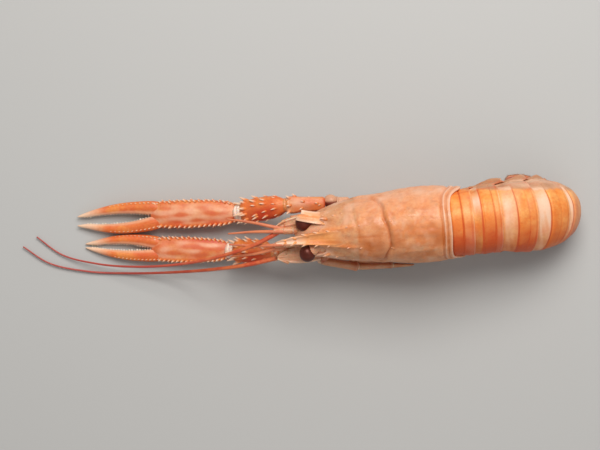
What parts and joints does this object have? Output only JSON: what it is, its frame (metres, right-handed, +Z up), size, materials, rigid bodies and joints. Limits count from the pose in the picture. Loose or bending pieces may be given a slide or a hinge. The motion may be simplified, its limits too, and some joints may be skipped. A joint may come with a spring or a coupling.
{
  "type": "langoustine",
  "caption": "Whole cooked langoustine in its shell, lying on its belly with long claws stretched forward and the tail curled under.",
  "frame": {"origin": "middle of the footprint's bounding box, on the surface that the animal lies on", "axes": "+X from the claws to the tail, +Y to the animal's right, +Z up from the belly"},
  "size_m": [0.2044, 0.0367, 0.037],
  "materials": {
    "shell": "satin peach-orange shell, faintly granular, paler on head and thorax",
    "claw_shell": "glossy red-orange shell with cream spines, ridges and undersides",
    "pale_membrane": "moist cream-white joint skin and facets between the tail rings",
    "eye": "wet black",
    "leg_shell": "satin pale peach"
  },
  "bodies": {
    "root": {"langoustine": "shell"}
  },
  "joints": []
}
